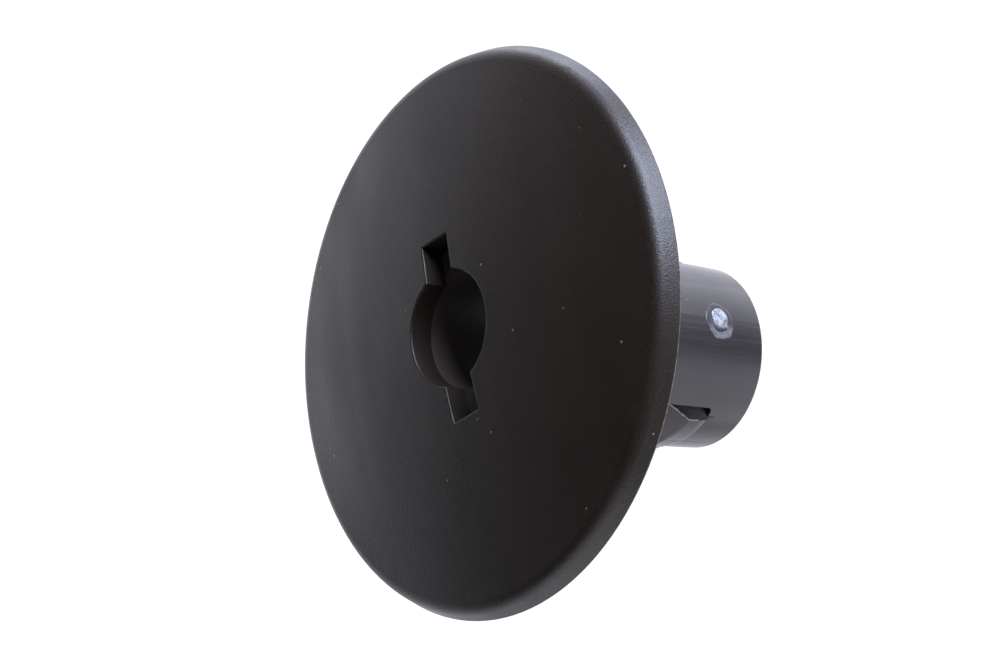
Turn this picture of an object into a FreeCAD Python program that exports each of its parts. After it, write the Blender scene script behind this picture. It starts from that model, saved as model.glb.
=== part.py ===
"""Snap-in cable grommet: a domed face flange on a barrel with two snap tongues.

Millimetres. The origin is on the axis, in the plane of the flange's back rim, which rests
on the panel. +Z points out of the face and the barrel runs down -Z. The keyway slots and
the snap tongues lie along Y: "rear" is the +Y side and "front" is the -Y side.
"""
import FreeCAD, Part

import math
import os

# Face flange
FLANGE_RADIUS = 19.05  # 1 1/2 inch across
DOME_RADIUS = 81.0  # the face is part of a sphere
DOME_CROWN = 3.69  # height that the sphere would reach on the axis
SHELL = 1.64  # the flange is one uniform wall
EDGE_DRAFT = math.radians(20.5)  # lean of the edge wall, which is widest at the back
EDGE_CORNER_ROUND = 1.10  # where the dome breaks into the edge wall
EDGE_FOOT_ROUND = 0.12  # narrow bright land along the back of the edge
FACE_EDGE_BREAK = 0.10  # rounding of the hole and keyway edges in the face

# Hole and keyways
BORE_RADIUS = 3.90  # takes a 7 mm coaxial cable
KEYWAY_WIDTH = 2.62
KEYWAY_TIP = 6.25  # outer end of each keyway, measured from the axis

# Barrel
BARREL_RADIUS = 6.30  # fits a 1/2 inch hole
DRAFT_START = -8.30  # below here the barrel tapers a little, the moulding's draft
DRAFTED_RADIUS = 6.27
TAPER_START = -14.00  # from here the barrel curves in gently, to enter the hole easily
TAPER_MIDDLE = -16.40
TAPER_MIDDLE_RADIUS = 6.245
BARREL_END_RADIUS = 6.15
BARREL_END = -18.80  # free end
BARREL_TOP = 1.90  # end face that seats against the underside of the flange
SPIGOT_RADIUS = 6.00  # the barrel is stepped down where the flange's collar grips it
BARREL_END_ROUND = 0.30
BORE_EXIT_CHAMFER = 0.35
COLLAR_WALL = 1.85  # collar under the flange that grips the barrel

# Windows and snap tongues
WINDOW_WIDTH = 6.62
WINDOW_TOP = -8.60
WINDOW_CORNER = 0.35
TONGUE_WIDTH = 5.40
TONGUE_FLATTENING = 1.70  # its curved faces are struck about an axis this far behind the barrel's
TONGUE_ROOT = -15.26
ROOT_GAP = 0.22  # slit that the living hinge bridges
ROOT_RADIUS = 6.30
APEX_RADIUS = 6.38
APEX_HEIGHT = -13.85
TIP_RADIUS = 4.95
TIP_HEIGHT = -11.60
TIP_INNER_RADIUS = 4.50
ROOT_INNER_RADIUS = 4.78

# Gate mark: a shallow dish where the moulding was cut from its runner, on the +X side
GATE_HEIGHT = -14.95
GATE_RADIUS = 1.25
GATE_DEPTH = 0.10

MARGIN = 1.0  # how far cutting shapes stick out past the plastic

UP = FreeCAD.Vector(0, 0, 1)
ORIGIN = FreeCAD.Vector(0, 0, 0)


def point(radius, height):
    """A point of a section, on the +X side of the axis."""
    return FreeCAD.Vector(radius, 0, height)


def around(centre, radius, lean):
    """The point of an arc where its outward normal leans that far from +Z towards +X."""
    return point(centre.x + radius * math.sin(lean), centre.z + radius * math.cos(lean))


def dome_point(thickness, r):
    """Point of the face's sphere, or of the same sphere that much deeper, at distance r."""
    radius = DOME_RADIUS - thickness
    return point(r, DOME_CROWN - DOME_RADIUS + math.sqrt(radius ** 2 - r ** 2))


def line(a, b):
    return Part.LineSegment(a, b).toShape()


def arc(a, middle, b):
    return Part.Arc(a, middle, b).toShape()


def turned(edges):
    """The solid that a closed section makes when it turns about the axis."""
    face = Part.Face(Part.Wire(edges))
    return face.revolve(ORIGIN, UP, 360)


def cylinder(radius, low, high):
    return Part.makeCylinder(radius, high - low, FreeCAD.Vector(0, 0, low))


def side_box(width, reach, low, high, side):
    """A box from the axis outwards along +Y (side 1) or -Y (side -1)."""
    near = 0 if side > 0 else -reach
    return Part.makeBox(width, reach, high - low, FreeCAD.Vector(-width / 2, near, low))


def edge_corner(depth):
    """Where the dome meets the edge wall, both of them taken that deep in the plastic.

    At the corner's own rounding this is the centre of the rounding.
    """
    foot = FLANGE_RADIUS - EDGE_FOOT_ROUND
    sphere_centre = DOME_CROWN - DOME_RADIUS
    wall = foot * math.cos(EDGE_DRAFT) + EDGE_FOOT_ROUND * math.sin(EDGE_DRAFT)
    wall += EDGE_FOOT_ROUND - depth
    reach = wall - sphere_centre * math.sin(EDGE_DRAFT)
    lean = math.asin(reach / (DOME_RADIUS - depth)) - EDGE_DRAFT
    return around(point(0, sphere_centre), DOME_RADIUS - depth, lean), lean


def flange_section():
    """Section of the shell: dome, edge wall and foot outside, the same one wall deeper inside."""
    wall_lean = math.pi / 2 - EDGE_DRAFT
    corner_centre, dome_lean = edge_corner(EDGE_CORNER_ROUND)
    corner_start = around(corner_centre, EDGE_CORNER_ROUND, dome_lean)
    corner_middle = around(corner_centre, EDGE_CORNER_ROUND, (dome_lean + wall_lean) / 2)
    corner_end = around(corner_centre, EDGE_CORNER_ROUND, wall_lean)
    foot_centre = point(FLANGE_RADIUS - EDGE_FOOT_ROUND, EDGE_FOOT_ROUND)
    foot_start = around(foot_centre, EDGE_FOOT_ROUND, wall_lean)
    foot_middle = around(foot_centre, EDGE_FOOT_ROUND, (wall_lean + math.pi) / 2)
    foot_end = around(foot_centre, EDGE_FOOT_ROUND, math.pi)
    inner_corner, _ = edge_corner(SHELL)
    inner_foot = point(inner_corner.x + inner_corner.z * math.tan(EDGE_DRAFT), 0)
    collar = SPIGOT_RADIUS + COLLAR_WALL
    crown = dome_point(0, 0)
    socket_end = point(SPIGOT_RADIUS, BARREL_TOP)
    return [
        arc(crown, dome_point(0, corner_start.x / 2), corner_start),
        arc(corner_start, corner_middle, corner_end),
        line(corner_end, foot_start),
        arc(foot_start, foot_middle, foot_end),
        line(foot_end, inner_foot),
        line(inner_foot, inner_corner),
        arc(
            inner_corner,
            dome_point(SHELL, (inner_corner.x + collar) / 2),
            dome_point(SHELL, collar),
        ),
        line(dome_point(SHELL, collar), point(collar, 0)),
        line(point(collar, 0), point(SPIGOT_RADIUS, 0)),
        line(point(SPIGOT_RADIUS, 0), socket_end),
        line(socket_end, point(0, BARREL_TOP)),
        line(point(0, BARREL_TOP), crown),
    ]


def keyway_cutter(side):
    return side_box(KEYWAY_WIDTH, KEYWAY_TIP, BARREL_TOP, DOME_CROWN + MARGIN, side)


def face_edges(shape):
    """Edges of the hole and keyways where they break out of the domed face."""
    reach = KEYWAY_TIP + KEYWAY_WIDTH
    found = []
    for edge in shape.Edges:
        box = edge.BoundBox
        furthest = max(box.XMax, -box.XMin, box.YMax, -box.YMin)
        if box.ZMin > dome_point(0, reach).z and furthest < reach:
            found.append(edge)
    return found


def face_flange():
    """Domed shell with a keyed centre hole, a rim that seats on the panel and a collar."""
    shell = turned(flange_section())
    hole = cylinder(BORE_RADIUS, BARREL_TOP - MARGIN, DOME_CROWN + MARGIN)
    shell = shell.cut([hole, keyway_cutter(1), keyway_cutter(-1)])
    return shell.makeFillet(FACE_EDGE_BREAK, face_edges(shell))


def barrel_section():
    """Section of the plain tube, rounded outside and chamfered inside at its free end."""
    round_centre = point(BARREL_END_RADIUS - BARREL_END_ROUND, BARREL_END + BARREL_END_ROUND)
    outward = math.pi / 2
    return [
        line(point(BORE_RADIUS, BARREL_TOP), point(SPIGOT_RADIUS, BARREL_TOP)),
        line(point(SPIGOT_RADIUS, BARREL_TOP), point(SPIGOT_RADIUS, 0)),
        line(point(SPIGOT_RADIUS, 0), point(BARREL_RADIUS, 0)),
        line(point(BARREL_RADIUS, 0), point(BARREL_RADIUS, DRAFT_START)),
        line(point(BARREL_RADIUS, DRAFT_START), point(DRAFTED_RADIUS, TAPER_START)),
        arc(
            point(DRAFTED_RADIUS, TAPER_START),
            point(TAPER_MIDDLE_RADIUS, TAPER_MIDDLE),
            around(round_centre, BARREL_END_ROUND, outward),
        ),
        arc(
            around(round_centre, BARREL_END_ROUND, outward),
            around(round_centre, BARREL_END_ROUND, (outward + math.pi) / 2),
            around(round_centre, BARREL_END_ROUND, math.pi),
        ),
        line(
            around(round_centre, BARREL_END_ROUND, math.pi),
            point(BORE_RADIUS + BORE_EXIT_CHAMFER, BARREL_END),
        ),
        line(
            point(BORE_RADIUS + BORE_EXIT_CHAMFER, BARREL_END),
            point(BORE_RADIUS, BARREL_END + BORE_EXIT_CHAMFER),
        ),
        line(
            point(BORE_RADIUS, BARREL_END + BORE_EXIT_CHAMFER),
            point(BORE_RADIUS, BARREL_TOP),
        ),
    ]


def section_loop(corners):
    """A closed section of straight edges."""
    return [line(a, b) for a, b in zip(corners, corners[1:] + corners[:1])]


def gate_cutter():
    """Ball that cuts the gate mark into the +X side of the barrel."""
    ball = (GATE_RADIUS ** 2 + GATE_DEPTH ** 2) / (2 * GATE_DEPTH)
    centre = FreeCAD.Vector(DRAFTED_RADIUS - GATE_DEPTH + ball, 0, GATE_HEIGHT)
    return Part.makeSphere(ball, centre)


def window_cutter(side):
    """Opening in the barrel wall around a tongue, with rounded corners."""
    low = TONGUE_ROOT - ROOT_GAP
    box = side_box(WINDOW_WIDTH, BARREL_RADIUS + MARGIN, low, WINDOW_TOP, side)
    corners = []
    for edge in box.Edges:
        bounds = edge.BoundBox
        if bounds.YLength > BARREL_RADIUS:
            corners.append(edge)
    return box.makeFillet(WINDOW_CORNER, corners)


def barrel():
    """Tube that passes through the panel and guides the cable, with two tongue windows."""
    return turned(barrel_section()).cut([window_cutter(1), window_cutter(-1), gate_cutter()])


def tongue_point(radius, height):
    """A point of the tongue's section, from its own axis instead of the barrel's."""
    return point(radius + TONGUE_FLATTENING, height)


def tongue_section():
    """Section of a tongue: root, snap apex, ramp that catches the panel, tip, inner face."""
    return section_loop(
        [
            tongue_point(ROOT_RADIUS, TONGUE_ROOT),
            tongue_point(APEX_RADIUS, APEX_HEIGHT),
            tongue_point(TIP_RADIUS, TIP_HEIGHT),
            tongue_point(TIP_INNER_RADIUS, TIP_HEIGHT),
            tongue_point(ROOT_INNER_RADIUS, TONGUE_ROOT),
        ]
    )


def snap_tongue(side):
    """Wedge-shaped tongue that springs inwards about its root as it passes the panel."""
    ring = turned(tongue_section())
    ring.translate(FreeCAD.Vector(0, -side * TONGUE_FLATTENING, 0))
    low = TONGUE_ROOT - MARGIN
    high = TIP_HEIGHT + MARGIN
    return ring.common(side_box(TONGUE_WIDTH, APEX_RADIUS + MARGIN, low, high, side))


def main():
    os.makedirs("parts", exist_ok=True)
    nodes = {
        "face_flange": face_flange(),
        "barrel": barrel(),
        "snap_tongue_rear": snap_tongue(1),
        "snap_tongue_front": snap_tongue(-1),
    }
    for name, shape in nodes.items():
        shape.exportStep(f"parts/{name}.step")
        print(name, "solids", len(shape.Solids), "valid", shape.isValid(), "mm3", shape.Volume)


main()
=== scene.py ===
import math

import bmesh
import bpy
from mathutils import Matrix, Vector


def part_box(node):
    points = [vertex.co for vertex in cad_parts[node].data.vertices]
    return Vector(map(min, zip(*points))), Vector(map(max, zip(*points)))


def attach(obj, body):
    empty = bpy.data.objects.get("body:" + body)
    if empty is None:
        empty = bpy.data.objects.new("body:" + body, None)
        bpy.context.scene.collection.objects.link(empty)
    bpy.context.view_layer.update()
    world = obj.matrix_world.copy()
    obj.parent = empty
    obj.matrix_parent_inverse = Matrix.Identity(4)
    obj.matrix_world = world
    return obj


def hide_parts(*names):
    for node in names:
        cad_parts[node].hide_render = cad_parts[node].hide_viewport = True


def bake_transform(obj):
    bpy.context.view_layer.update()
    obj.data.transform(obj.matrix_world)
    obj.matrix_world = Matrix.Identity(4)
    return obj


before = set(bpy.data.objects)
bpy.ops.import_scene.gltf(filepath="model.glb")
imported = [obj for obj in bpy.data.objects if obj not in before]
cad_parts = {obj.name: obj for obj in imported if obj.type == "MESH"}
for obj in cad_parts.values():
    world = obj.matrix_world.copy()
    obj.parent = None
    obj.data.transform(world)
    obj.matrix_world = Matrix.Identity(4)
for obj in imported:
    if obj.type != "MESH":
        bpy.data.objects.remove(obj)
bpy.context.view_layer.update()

MM = 0.001

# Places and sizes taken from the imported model, in metres
FLANGE_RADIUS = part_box("face_flange")[1].x
BARREL_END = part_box("barrel")[0].z
TONGUE_LOW, TONGUE_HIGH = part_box("snap_tongue_rear")

# The floor lies just below the barrel's end, so that they don't share a plane
FLOOR_GAP = 0.05 * MM
FLOOR_HALF = 3.0

# Snap tongue as it is seen, in millimetres. A corner of its section is a radius, a height and
# a rounding; the section turns clockwise. The root is carried on into the end ring.
TONGUE_PROFILE = [
    (4.84, -16.70, 0.02),  # inside the ring, towards the bore
    (4.78, -15.26, 0.05),  # root, towards the bore
    (4.50, -11.60, 0.05),  # tip, towards the bore
    (4.95, -11.60, 0.10),  # tip, outside
    (6.38, -13.85, 0.12),  # apex, the widest place
    (6.285, -15.44, 0.30),  # root, outside
    (6.00, -16.70, 0.02),  # inside the ring, outer side
]
TONGUE_HALF = TONGUE_HIGH.x / MM
TONGUE_FLATTENING = 1.70  # its curved faces are struck from this far behind the axis
TONGUE_ROOT = -15.10  # below here the tongue takes on the end ring's own curve,
TONGUE_MERGE = 0.45  # bit by bit over this height
TONGUE_LIP = 0.13  # height and width of the thin lip along each side edge
LIP_UNEVENNESS = 0.05

# How finely a tongue's lips, corners, half width and long sides are divided
LIP_STEPS = 4
CORNER_STEPS = 4
HALF_STEPS = 15
LONGEST_SIDE = 0.25

# The tongue's hinge starts at this height, in metres; its edge marks lie above it
HINGE_START = -15.50 * MM

# Gate mark, on the +X side, in millimetres: centres as (y, height). A profile runs from the
# middle outwards, as shares of the radius and heights above the barrel's surface.
GATE_SURFACE = 6.265
GATE_SEGMENTS = 56
GATE_SQUASH = 0.92
GATE_RADIUS_UNEVENNESS = 0.07
GATE_HEIGHT_UNEVENNESS = 0.35
GATE_HEIGHT_SHIFT = 1.7  # the heights' unevenness is out of step with the radius's
RING_CENTRE = (-0.20, -14.85)
RING_RADIUS = 1.32
RING_SEED = 0.4
RING_PROFILE = [
    (0.35, -0.3),
    (0.40, -0.06),
    (0.62, 0.0),
    (0.80, 0.04),
    (0.92, 0.025),
    (1.0, -0.01),
    (1.03, -0.3),
]
STUB_CENTRE = (0.03, -14.93)
STUB_RADIUS = 0.78
STUB_SEED = 2.1
STUB_PROFILE = [
    (0.10, 0.05),
    (0.40, 0.07),
    (0.70, 0.06),
    (0.90, 0.02),
    (1.0, -0.04),
    (1.02, -0.3),
]

# Camera: a long lens, looking at the face from above and to the side, rolled on its side
VIEW_AZIMUTH = math.radians(63.201)
VIEW_ELEVATION = math.radians(38.761)
VIEW_ROLL = math.radians(-83.073)
VIEW_DISTANCE = 314.33 * MM
VIEW_LENS = 171.717
VIEW_SENSOR = 36.0
VIEW_NEAR = 10 * MM
AIM_RIGHT = 0.603 * MM
AIM_UP = -0.028 * MM

# Light. The surround changes from front to behind over a range of the cosine to the camera's
# line of sight, and from low to full over a range of the cosine to the picture's upright.
PAPER_WHITE = 1.15
PURE_WHITE = (1, 1, 1, 1)
COOL_WHITE = (0.94, 0.95, 1.06, 1)
SKY_WHITE = (0.85, 0.94, 1.22, 1)
FRONT_GLOW = 0.045
BEHIND_GLOW = 1.7
GLOW_EDGE = (0.20, 0.66)
LOW_SHADE = 0.62
SHADE_EDGE = (-0.65, 0.10)
LAMP_DISTANCE = 0.5
FILL_DISTANCE = 0.6


# ---------------------------------------------------------------- node helpers


class Nodes:
    """A node tree, with short calls for the nodes used here."""

    def __init__(self, name):
        self.material = bpy.data.materials.new(name)
        self.material.use_nodes = True
        self.tree = self.material.node_tree
        self.tree.nodes.clear()
        self.output = self.tree.nodes.new("ShaderNodeOutputMaterial")

    @classmethod
    def on(cls, tree):
        """The same calls on a tree that is already there."""
        made = cls.__new__(cls)
        made.tree = tree
        return made

    def node(self, kind, **settings):
        made = self.tree.nodes.new(kind)
        for key, value in settings.items():
            setattr(made, key, value)
        return made

    def link(self, source, target):
        self.tree.links.new(source, target)

    def feed(self, socket, value):
        """A socket takes a number, a colour or another node's output."""
        if isinstance(value, bpy.types.NodeSocket):
            self.link(value, socket)
        else:
            socket.default_value = value

    def vector(self, operation, vector, other=None):
        made = self.node("ShaderNodeVectorMath", operation=operation)
        self.link(vector, made.inputs[0])
        if other is not None:
            made.inputs[1].default_value = other
        return made

    def place(self):
        """Position on the object, in millimetres."""
        coordinates = self.node("ShaderNodeTexCoord")
        scaled = self.vector("SCALE", coordinates.outputs["Object"])
        scaled.inputs["Scale"].default_value = 1 / MM
        return scaled.outputs[0]

    def stretch(self, vector, factors):
        return self.vector("MULTIPLY", vector, factors).outputs[0]

    def radius(self, place):
        """Distance from the object's axis."""
        flat = self.stretch(place, (1.0, 1.0, 0.0))
        return self.vector("LENGTH", flat).outputs["Value"]

    def cosine(self, direction, fixed):
        return self.vector("DOT_PRODUCT", direction, fixed).outputs["Value"]

    def axes(self, vector):
        made = self.node("ShaderNodeSeparateXYZ")
        self.link(vector, made.inputs[0])
        return made.outputs["X"], made.outputs["Y"], made.outputs["Z"]

    def noise(self, vector, scale, detail=2.0, rough=0.5):
        made = self.node("ShaderNodeTexNoise")
        self.link(vector, made.inputs["Vector"])
        made.inputs["Scale"].default_value = scale
        made.inputs["Detail"].default_value = detail
        made.inputs["Roughness"].default_value = rough
        return made.outputs["Fac"]

    def cells(self, vector, scale, feature="F1"):
        made = self.node("ShaderNodeTexVoronoi", feature=feature)
        self.link(vector, made.inputs["Vector"])
        made.inputs["Scale"].default_value = scale
        return made.outputs["Distance"]

    def specks(self, vector, scale, size):
        """Sparse round dots; the size is their radius as a share of a cell's width."""
        return self.maths("LESS_THAN", self.cells(vector, scale), size)

    def remap(self, value, low, high, to_low=0.0, to_high=1.0, smooth=False):
        made = self.node("ShaderNodeMapRange")
        if smooth:
            made.interpolation_type = "SMOOTHSTEP"
        self.feed(made.inputs["Value"], value)
        made.inputs["From Min"].default_value = low
        made.inputs["From Max"].default_value = high
        made.inputs["To Min"].default_value = to_low
        made.inputs["To Max"].default_value = to_high
        return made.outputs["Result"]

    def maths(self, operation, a, b=0.0):
        made = self.node("ShaderNodeMath", operation=operation)
        self.feed(made.inputs[0], a)
        self.feed(made.inputs[1], b)
        return made.outputs[0]

    def plus(self, a, b):
        return self.maths("ADD", a, b)

    def times(self, a, b):
        return self.maths("MULTIPLY", a, b)

    def mix(self, factor, a, b):
        made = self.node("ShaderNodeMix", data_type="RGBA")
        self.feed(made.inputs["Factor"], factor)
        self.feed(made.inputs["A"], a)
        self.feed(made.inputs["B"], b)
        return made.outputs["Result"]

    def bump(self, height, strength, distance):
        made = self.node("ShaderNodeBump")
        self.link(height, made.inputs["Height"])
        made.inputs["Strength"].default_value = strength
        made.inputs["Distance"].default_value = distance
        return made.outputs["Normal"]

    def shader(self, colour, roughness, normal):
        made = self.node("ShaderNodeBsdfPrincipled")
        self.link(colour, made.inputs["Base Color"])
        self.link(roughness, made.inputs["Roughness"])
        self.link(normal, made.inputs["Normal"])
        self.link(made.outputs["BSDF"], self.output.inputs["Surface"])
        return self.material


# ------------------------------------------------------------------- materials


def flange_plastic():
    """Near-black plastic with a fine spark-eroded texture, handling marks and dust.

    Painted glints, lighter dots in the colour that stand in for the texture's sparkle, grow
    towards the rim; the same dots are glossier. Pale dots painted on the narrow land along the
    back of the edge are a painted highlight, for the light that the mould's parting line
    catches.
    """
    dark = (0.0160, 0.0104, 0.0064, 1)
    pale = (0.0205, 0.0134, 0.0083, 1)
    painted_glint_colour = (0.105, 0.10, 0.098, 1)
    dust_colour = (0.24, 0.20, 0.16, 1)
    painted_land_highlight_colour = (0.20, 0.185, 0.17, 1)
    land_width = 0.35
    rim_start, rim_end = 16.6, 17.8

    n = Nodes("flange_plastic")
    place = n.place()
    radius = n.radius(place)
    _, _, height = n.axes(place)

    clouds = n.noise(place, 0.16, detail=3.0, rough=0.55)
    colour = n.mix(n.remap(clouds, 0.35, 0.65), dark, pale)

    # Painted glints: lighter dots in the colour stand in for the texture's sparkle; the same
    # dots are glossier.
    painted_glints_and_gloss = n.remap(n.cells(place, 4.2), 0.0, 0.24, 1.0, 0.0, smooth=True)
    painted_glints_and_gloss = n.times(painted_glints_and_gloss, n.remap(radius, rim_start, rim_end, 0.25, 1.0))
    colour = n.mix(n.times(painted_glints_and_gloss, 0.55), colour, painted_glint_colour)

    dust = n.maths("MAXIMUM", n.specks(place, 0.5, 0.042), n.specks(place, 0.75, 0.020))
    colour = n.mix(dust, colour, dust_colour)

    # Painted highlight: pale dots on the narrow land at the back of the edge stand in for the
    # light that the parting line catches.
    rear = n.remap(height, 0.06, 0.18, 1.0, 0.0, smooth=True)
    outside = n.maths("GREATER_THAN", radius, FLANGE_RADIUS / MM - land_width)
    dots = n.remap(n.noise(place, 5.0), 0.45, 0.66, 0.12, 0.9)
    colour = n.mix(n.times(n.times(rear, outside), dots), colour, painted_land_highlight_colour)

    smudges = n.noise(n.stretch(place, (0.5, 0.14, 0.5)), 0.6)
    roughness = n.remap(smudges, 0.3, 0.7, 0.40, 0.49)
    roughness = n.maths("SUBTRACT", roughness, n.times(painted_glints_and_gloss, 0.14))

    grain = n.noise(place, 9.0, detail=1.0, rough=0.6)
    pits = n.cells(place, 6.5)
    texture = n.plus(grain, n.times(pits, 0.7))
    return n.shader(colour, roughness, n.bump(texture, 0.75, 0.016 * MM))


def tongue_edges(n, place):
    """Masks of a snap tongue's lips and of its flat flanks, both above the hinge only."""
    flank_depth = 0.006
    flash_width = 1.7 * TONGUE_LIP
    across, _, rising = n.axes(place)
    across = n.maths("ABSOLUTE", across)
    free = n.maths("GREATER_THAN", rising, HINGE_START / MM)
    flank = n.times(free, n.maths("GREATER_THAN", across, TONGUE_HALF - flank_depth))
    beside = n.maths("GREATER_THAN", across, TONGUE_HALF - flash_width)
    lip = n.maths("SUBTRACT", n.times(free, beside), flank)
    return lip, flank


def barrel_plastic(name, flash_and_painted_light=False):
    """Smooth semi-gloss plastic with faint draw marks along the axis, rubbed beside the gate.

    The bore, the windows and the back of the snap tongues are duller; their colour is painted
    lighter and browner, painted light for the light that reaches into the bore. When the last
    argument is set, the lips carry a rough flash with a painted highlight, pale specks for the
    light it catches, and the flanks are duller with painted shade, a browner colour, as on the
    tongues.
    """
    dark = (0.028, 0.0245, 0.0245, 1)
    pale = (0.038, 0.0335, 0.0330, 1)
    painted_bore_light_colour = (0.060, 0.046, 0.042, 1)
    scuff_colour = (0.085, 0.080, 0.082, 1)
    dust_colour = (0.30, 0.29, 0.29, 1)
    painted_flash_highlight_colour = (0.48, 0.45, 0.43, 1)
    painted_flank_shade_colour = (0.040, 0.026, 0.020, 1)
    brown_inside, plain_outside = 5.9, 6.15
    gate_side_start, gate_side_end = 5.3, 6.0

    n = Nodes(name)
    place = n.place()
    inside = n.remap(n.radius(place), brown_inside, plain_outside, 1.0, 0.0)
    gate_side = n.remap(n.axes(place)[0], gate_side_start, gate_side_end, smooth=True)
    draw = n.noise(n.stretch(place, (1.0, 1.0, 0.012)), 2.6, detail=3.0, rough=0.6)
    wave = n.noise(n.stretch(place, (1.0, 1.0, 0.25)), 0.30, detail=1.0)
    fine = n.noise(place, 5.0)
    scuffs = n.noise(n.stretch(place, (1.0, 1.0, 0.10)), 0.9, detail=4.0, rough=0.7)
    scuffs = n.remap(scuffs, 0.60, 0.72, 0.0, 0.35, smooth=True)
    rubs = n.noise(n.stretch(place, (1.0, 1.0, 0.03)), 3.4, detail=3.0)
    rubs = n.times(n.remap(rubs, 0.50, 0.66), gate_side)

    colour = n.mix(n.remap(wave, 0.3, 0.7), dark, pale)
    # Painted light: the bore, the windows and the tongues' backs are painted lighter and
    # browner for the light that reaches into the bore.
    colour = n.mix(inside, colour, painted_bore_light_colour)
    colour = n.mix(scuffs, colour, scuff_colour)
    colour = n.mix(n.specks(place, 0.9, 0.030), colour, dust_colour)

    roughness = n.remap(draw, 0.3, 0.7, 0.27, 0.37)
    roughness = n.plus(roughness, n.times(scuffs, 0.3))
    roughness = n.plus(roughness, n.times(inside, 0.12))
    roughness = n.plus(roughness, n.times(rubs, 0.12))

    height = n.plus(n.times(draw, 0.36), n.times(wave, 1.2))
    height = n.plus(height, n.times(fine, 0.10))
    height = n.plus(height, n.times(rubs, 0.55))

    if flash_and_painted_light:
        lip, flank = tongue_edges(n, place)
        crumbs = n.noise(place, 6.5, detail=3.0, rough=0.7)
        # Painted highlight: pale specks on the lips stand in for the light that the thin flash
        # catches.
        bright = n.remap(crumbs, 0.38, 0.56, 0.15, 1.0)
        colour = n.mix(n.times(lip, bright), colour, painted_flash_highlight_colour)
        # Painted shade: the flanks are painted a browner colour for the shade in the narrow
        # slit, and they are rougher.
        colour = n.mix(flank, colour, painted_flank_shade_colour)
        roughness = n.plus(roughness, n.times(flank, 0.25))
        height = n.plus(height, n.times(n.times(lip, crumbs), 9.0))
    return n.shader(colour, roughness, n.bump(height, 0.30, 0.02 * MM))


def broken_plastic():
    """Plastic torn at the gate: patchy pale grey, lumpy and glossy."""
    dark = (0.09, 0.09, 0.10, 1)
    pale_patch_colour = (0.36, 0.37, 0.39, 1)

    n = Nodes("broken_plastic")
    place = n.place()
    torn = n.noise(place, 2.2, detail=4.0, rough=0.65)
    crazing = n.cells(place, 4.5, feature="DISTANCE_TO_EDGE")
    colour = n.mix(n.remap(torn, 0.35, 0.6), dark, pale_patch_colour)
    roughness = n.remap(torn, 0.3, 0.7, 0.20, 0.42)
    height = n.plus(torn, n.times(crazing, 0.3))
    return n.shader(colour, roughness, n.bump(height, 0.8, 0.05 * MM))


def ring_painted_highlight_plastic():
    """The ring that the cutter left around the gate, with a painted highlight: pale bluish
    patches on its -Y side only.
    """
    plain = (0.036, 0.032, 0.032, 1)
    ring_highlight_colour = (0.17, 0.17, 0.185, 1)
    pale_start, pale_end = -0.25, -1.05

    n = Nodes("ring_painted_highlight_plastic")
    place = n.place()
    scrape_and_highlight_noise = n.noise(n.stretch(place, (1.0, 1.0, 0.3)), 3.0, detail=4.0, rough=0.7)
    # Painted highlight: pale bluish patches on the ring's -Y side stand in for the light that
    # it catches.
    lower = n.remap(n.axes(place)[1], pale_start, pale_end, smooth=True)
    patchy = n.times(lower, n.remap(scrape_and_highlight_noise, 0.25, 0.65, 0.35, 1.0))
    colour = n.mix(patchy, plain, ring_highlight_colour)
    roughness = n.remap(scrape_and_highlight_noise, 0.3, 0.7, 0.28, 0.42)
    return n.shader(colour, roughness, n.bump(scrape_and_highlight_noise, 0.7, 0.03 * MM))


def dress(node, material):
    """Gives a CAD node its finished material."""
    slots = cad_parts[node].data.materials
    slots.clear()
    slots.append(material)


# --------------------------------------------------------------- detail pieces


def capped_skin(bm, rings):
    """Faces from each ring of points to the next, and one over each end."""
    count = len(rings[0])
    for a, b in zip(rings, rings[1:]):
        for i in range(count):
            j = (i + 1) % count
            bm.faces.new((a[i], a[j], b[j], b[i]))
    bm.faces.new(rings[0])
    bm.faces.new(reversed(rings[-1]))


def finished(name, bm, material):
    """Turns mesh code into a smooth-shaded object of the scene."""
    bmesh.ops.recalc_face_normals(bm, faces=bm.faces)
    for face in bm.faces:
        face.smooth = True
    mesh = bpy.data.meshes.new(name)
    bm.to_mesh(mesh)
    bm.free()
    mesh.materials.append(material)
    made = bpy.data.objects.new(name, mesh)
    bpy.context.scene.collection.objects.link(made)
    return made


def rounded_loop(corners):
    """A closed section whose corners are rounded; each corner is (radius, height, rounding)."""
    loop = []
    count = len(corners)
    for i, (r, z, rounding) in enumerate(corners):
        here = Vector((r, z))
        before = Vector(corners[i - 1][:2])
        after = Vector(corners[(i + 1) % count][:2])
        start = here + (before - here).normalized() * rounding
        end = here + (after - here).normalized() * rounding
        for k in range(CORNER_STEPS + 1):
            t = k / CORNER_STEPS
            loop.append(start * (1 - t) ** 2 + here * 2 * t * (1 - t) + end * t ** 2)
    return loop


def divided(loop):
    """The same loop with its long sides divided."""
    made = []
    for a, b in zip(loop, loop[1:] + loop[:1]):
        count = max(1, math.ceil((b - a).length / LONGEST_SIDE))
        made += [a.lerp(b, k / count) for k in range(count)]
    return made


def swollen(loop, rise):
    """The loop moved outwards; it turns clockwise in (radius, height)."""
    made = []
    for before, here, after in zip(loop[-1:] + loop[:-1], loop, loop[1:] + loop[:1]):
        along = (after - before).normalized()
        made.append(here + Vector((-along.y, along.x)) * rise)
    return made


def lump(seed, t):
    """Small smooth unevenness along an edge."""
    return math.sin(t * 5.1 + seed) * 0.5 + math.sin(t * 11.7 + seed * 2.3) * 0.3


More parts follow.
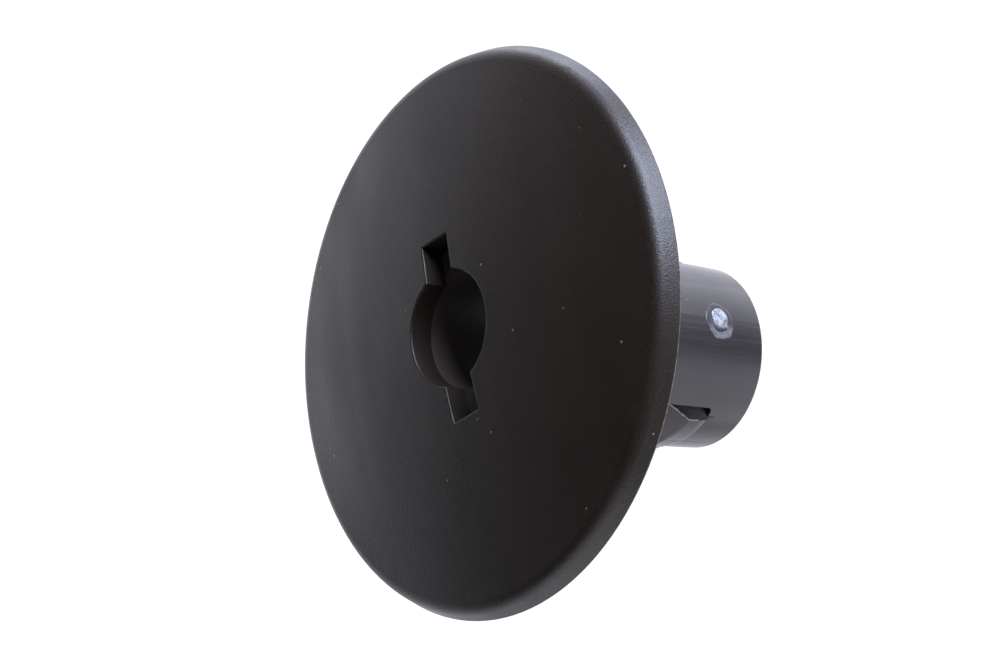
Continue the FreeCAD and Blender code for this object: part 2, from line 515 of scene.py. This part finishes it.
def across_tongue():
    """Places across a tongue with the lip's rise at each: lip, level middle, lip."""
    left = []
    for k in range(LIP_STEPS):
        turn = math.radians(90 * k / LIP_STEPS)
        x = TONGUE_LIP * (1 - math.cos(turn)) - TONGUE_HALF
        left.append((x, TONGUE_LIP * (1 - math.sin(turn))))
    level = TONGUE_HALF - TONGUE_LIP
    middle = [(level * k / HALF_STEPS, 0.0) for k in range(-HALF_STEPS, HALF_STEPS + 1)]
    right = [(-x, rise) for x, rise in reversed(left)]
    return left + middle + right


def snap_tongue(name, side, material):
    """A snap tongue that grows out of the end ring, with a thin uneven lip on each side."""
    loop = divided(rounded_loop(TONGUE_PROFILE))
    bm = bmesh.new()
    rings = []
    for x, rise in across_tongue():
        ring = []
        for spot in swollen(loop, rise):
            merged = min(max((TONGUE_ROOT - spot.y) / TONGUE_MERGE, 0.0), 1.0)
            uneven = LIP_UNEVENNESS * lump(side + x, spot.y) * rise / TONGUE_LIP
            r = spot.x + uneven * (1 - merged)
            free = math.sqrt((r + TONGUE_FLATTENING) ** 2 - x * x) - TONGUE_FLATTENING
            y = free * (1 - merged) + math.sqrt(r * r - x * x) * merged
            ring.append(bm.verts.new(Vector((x, side * y, spot.y)) * MM))
        rings.append(ring)
    capped_skin(bm, rings)
    return finished(name, bm, material)


def gate_piece(name, centre, radius, profile, seed, material):
    """A small uneven round boss or ring on the barrel's +X side, standing on its surface."""
    bm = bmesh.new()
    rings = []
    for share, rise in profile:
        ring = []
        for k in range(GATE_SEGMENTS):
            angle = 2 * math.pi * k / GATE_SEGMENTS
            uneven = 1 + GATE_RADIUS_UNEVENNESS * lump(seed, angle) * share
            spread = radius * share * uneven
            y = centre[0] + spread * math.cos(angle)
            z = centre[1] + spread * math.sin(angle) * GATE_SQUASH
            lift = 1 + GATE_HEIGHT_UNEVENNESS * lump(seed + GATE_HEIGHT_SHIFT, angle)
            x = math.sqrt(GATE_SURFACE ** 2 - y * y) + rise * lift
            ring.append(bm.verts.new(Vector((x, y, z)) * MM))
        rings.append(ring)
    capped_skin(bm, rings)
    return finished(name, bm, material)


# ----------------------------------------------------------------------- stage


def view_axes():
    """Right, up and backward directions of the camera."""
    side = Vector((math.cos(VIEW_AZIMUTH), math.sin(VIEW_AZIMUTH), 0))
    back = Vector(
        (
            math.sin(VIEW_AZIMUTH) * math.cos(VIEW_ELEVATION),
            -math.cos(VIEW_AZIMUTH) * math.cos(VIEW_ELEVATION),
            math.sin(VIEW_ELEVATION),
        )
    )
    upward = back.cross(side)
    right = side * math.cos(VIEW_ROLL) + upward * math.sin(VIEW_ROLL)
    up = back.cross(right)
    return right, up, back


def add_camera():
    right, up, back = view_axes()
    data = bpy.data.cameras.new("camera")
    data.lens = VIEW_LENS
    data.sensor_width = VIEW_SENSOR
    data.clip_start = VIEW_NEAR
    camera = bpy.data.objects.new("camera", data)
    place = right * AIM_RIGHT + up * AIM_UP + back * VIEW_DISTANCE
    turn = Matrix((right, up, back)).transposed().to_4x4()
    camera.matrix_world = Matrix.Translation(place) @ turn
    bpy.context.scene.collection.objects.link(camera)
    bpy.context.scene.camera = camera


def add_area(name, direction, size, power, colour=COOL_WHITE, distance=LAMP_DISTANCE):
    """A square soft light that faces the object from a direction given in camera axes."""
    right, up, back = view_axes()
    aim = (right * direction[0] + up * direction[1] + back * direction[2]).normalized()
    data = bpy.data.lights.new(name, "AREA")
    data.shape = "SQUARE"
    data.size = size
    data.energy = power
    data.color = colour[:3]
    lamp = bpy.data.objects.new(name, data)
    turn = aim.to_track_quat("Z", "Y").to_matrix().to_4x4()
    lamp.matrix_world = Matrix.Translation(aim * distance) @ turn
    bpy.context.scene.collection.objects.link(lamp)
    return lamp


def add_world():
    """Studio surround: bright behind the object as the photographer's sweep, dim in front.

    It is darker towards the bottom of the picture. The background itself shows as plain
    white from every side.
    """
    world = bpy.data.worlds.new("studio")
    world.use_nodes = True
    tree = world.node_tree
    tree.nodes.clear()
    n = Nodes.on(tree)
    _, up, back = view_axes()
    direction = n.node("ShaderNodeTexCoord").outputs["Generated"]
    glow = n.remap(n.cosine(direction, -back), *GLOW_EDGE, FRONT_GLOW, BEHIND_GLOW, smooth=True)
    shading = n.remap(n.cosine(direction, up), *SHADE_EDGE, LOW_SHADE, 1.0)
    surround = n.node("ShaderNodeBackground")
    surround.inputs["Color"].default_value = COOL_WHITE
    n.link(n.times(glow, shading), surround.inputs["Strength"])
    seen = n.node("ShaderNodeBackground")
    seen.inputs["Color"].default_value = PURE_WHITE
    seen.inputs["Strength"].default_value = PAPER_WHITE
    mixed = n.node("ShaderNodeMixShader")
    n.link(n.node("ShaderNodeLightPath").outputs["Is Camera Ray"], mixed.inputs[0])
    n.link(surround.outputs[0], mixed.inputs[1])
    n.link(seen.outputs[0], mixed.inputs[2])
    output = n.node("ShaderNodeOutputWorld")
    n.link(mixed.outputs[0], output.inputs["Surface"])
    bpy.context.scene.world = world


def add_floor():
    """Large pale floor under the barrel's end, lit evenly like a light table.

    It shows from above only, so that the object can be seen from below too.
    """
    half = FLOOR_HALF
    height = BARREL_END - FLOOR_GAP
    mesh = bpy.data.meshes.new("floor")
    corners = [(-half, -half), (half, -half), (half, half), (-half, half)]
    mesh.from_pydata([(x, y, height) for x, y in corners], [], [(0, 1, 2, 3)])
    floor = bpy.data.objects.new("floor", mesh)
    bpy.context.scene.collection.objects.link(floor)
    n = Nodes("floor_paper")
    emission = n.node("ShaderNodeEmission")
    emission.inputs["Color"].default_value = PURE_WHITE
    emission.inputs["Strength"].default_value = PAPER_WHITE
    mixed = n.node("ShaderNodeMixShader")
    n.link(n.node("ShaderNodeNewGeometry").outputs["Backfacing"], mixed.inputs[0])
    n.link(emission.outputs[0], mixed.inputs[1])
    n.link(n.node("ShaderNodeBsdfTransparent").outputs[0], mixed.inputs[2])
    n.link(mixed.outputs[0], n.output.inputs["Surface"])
    mesh.materials.append(n.material)
    floor.visible_glossy = False
    floor.visible_diffuse = False
    floor.visible_shadow = False


# ------------------------------------------------------------------------ make

dress("face_flange", flange_plastic())
dress("barrel", barrel_plastic("barrel_plastic"))

tongue_material = barrel_plastic("tongue_plastic", flash_and_painted_light=True)
for side, where in ((1, "rear"), (-1, "front")):
    tongue = snap_tongue(f"tongue_{where}", side, tongue_material)
    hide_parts(f"snap_tongue_{where}")
    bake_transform(tongue)

gate_ring = gate_piece(
    "gate_ring", RING_CENTRE, RING_RADIUS, RING_PROFILE, RING_SEED, ring_painted_highlight_plastic()
)
gate_stub = gate_piece(
    "gate_stub", STUB_CENTRE, STUB_RADIUS, STUB_PROFILE, STUB_SEED, broken_plastic()
)
for piece in (gate_ring, gate_stub):
    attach(piece, "bushing")

add_camera()
add_world()
add_floor()
add_area("key", (0.32, 0.79, 0.46), size=0.37, power=6.4, colour=SKY_WHITE)
add_area("side", (0.66, 0.66, -0.33), size=0.36, power=0.50)
add_area("low", (0.78, -0.62, 0.02), size=0.56, power=1.5)
add_area("back", (0.05, 0.83, -0.52), size=0.30, power=0.75, colour=SKY_WHITE)
add_area("under", (-0.06, -0.97, 0.10), size=0.50, power=1.2)
fill = add_area("fill", (0.0, 0.0, 1.0), size=0.30, power=0.10, distance=FILL_DISTANCE)
fill.visible_glossy = False
bpy.context.scene.view_settings.view_transform = "Standard"
